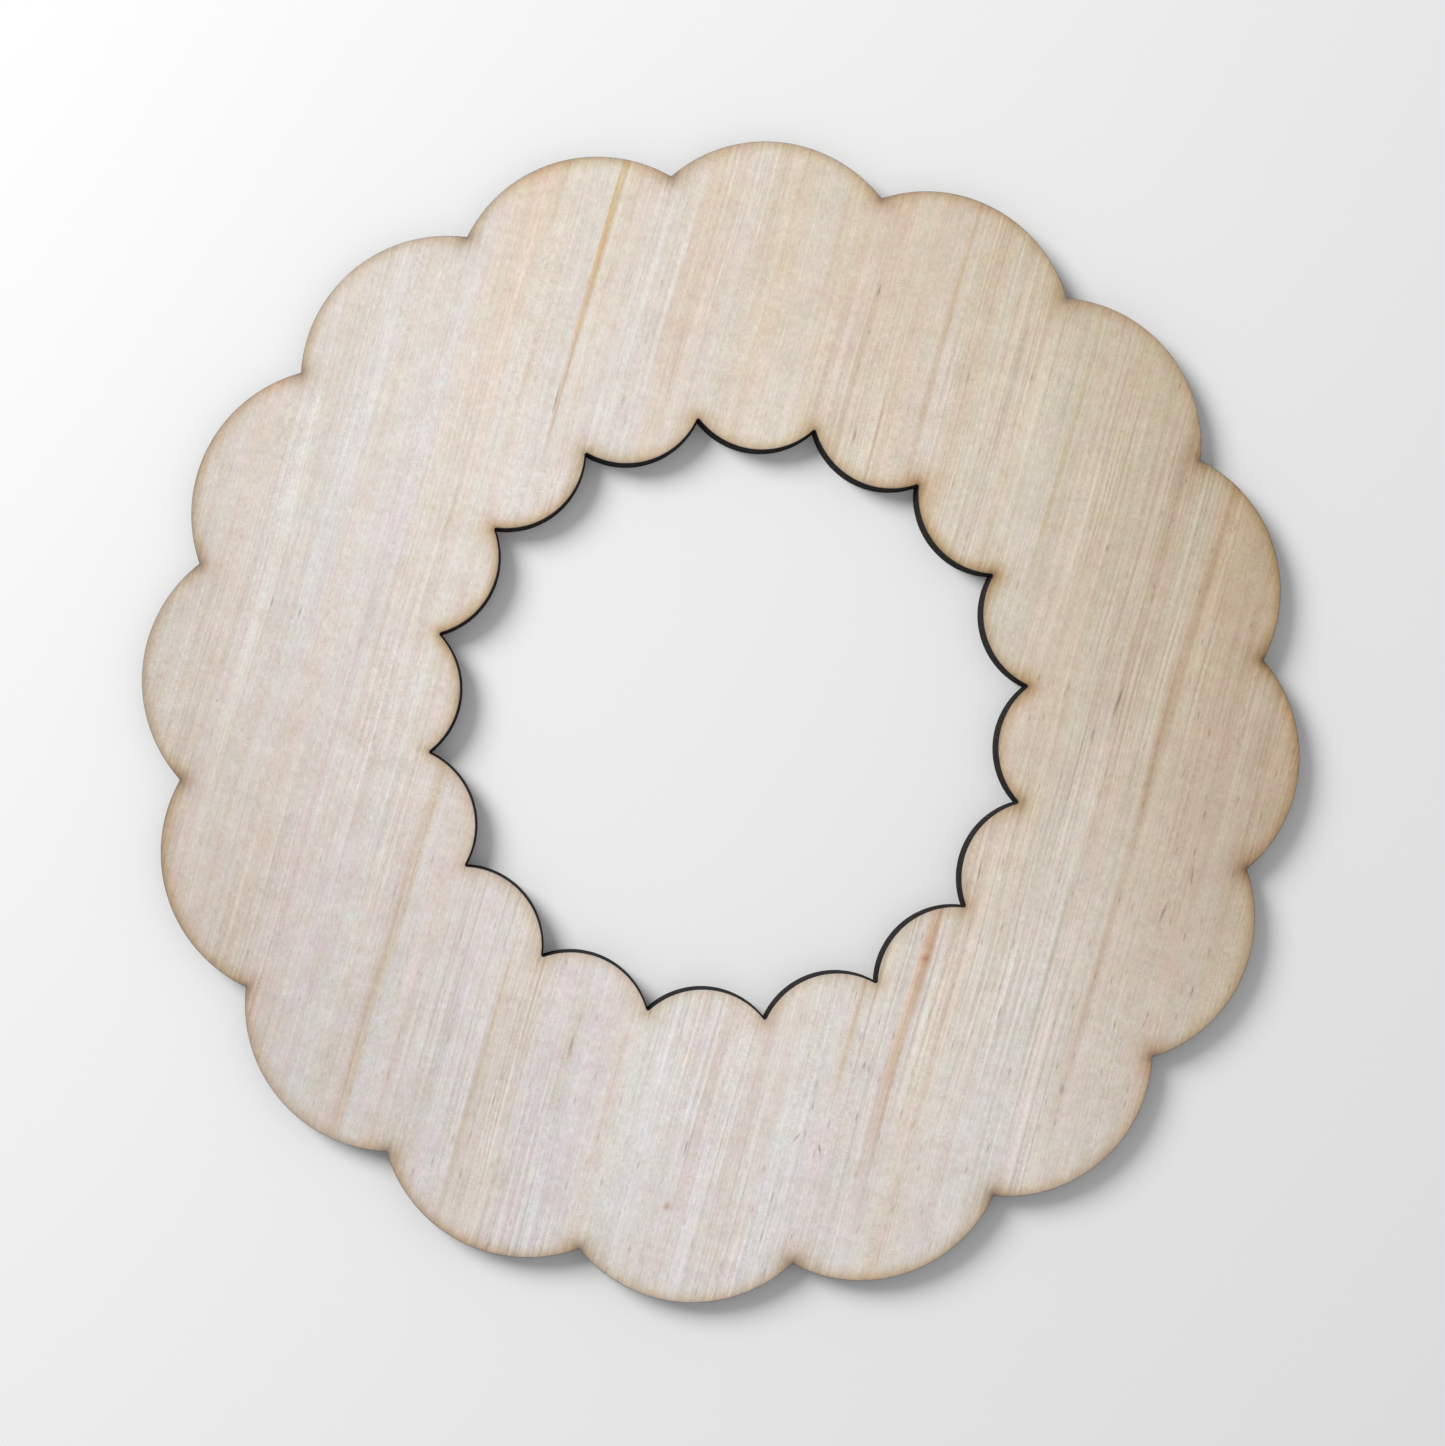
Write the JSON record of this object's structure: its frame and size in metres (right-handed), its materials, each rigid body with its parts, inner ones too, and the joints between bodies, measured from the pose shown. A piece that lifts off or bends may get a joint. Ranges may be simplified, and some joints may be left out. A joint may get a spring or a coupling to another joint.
{
  "type": "scalloped plywood wreath blank",
  "caption": "Flat wreath-shaped craft ring of thin laser-cut plywood with scalloped outer edge and scalloped hole, bare, ready to paint, decorate or glue things to.",
  "frame": {"origin": "centre of the ring, on the flat back that it lies on", "axes": "+Z out of the face; +X and +Y each through the middle of an outer and an inner lobe"},
  "size_m": [0.1528, 0.1528, 0.003],
  "materials": {
    "face_ply": "bare pale veneer with straight fine grain, mineral streaks and small flecks, amber scorch along every cut, black charred cut walls",
    "core_ply": "cross-grain core veneer, only its black charred cut walls in sight",
    "back_ply": "bare pale veneer a little plainer than the face, brown smoke marks along every cut, black charred cut walls"
  },
  "bodies": {
    "root": {"face_veneer": "face_ply", "core_veneer": "core_ply", "back_veneer": "back_ply"}
  },
  "joints": []
}
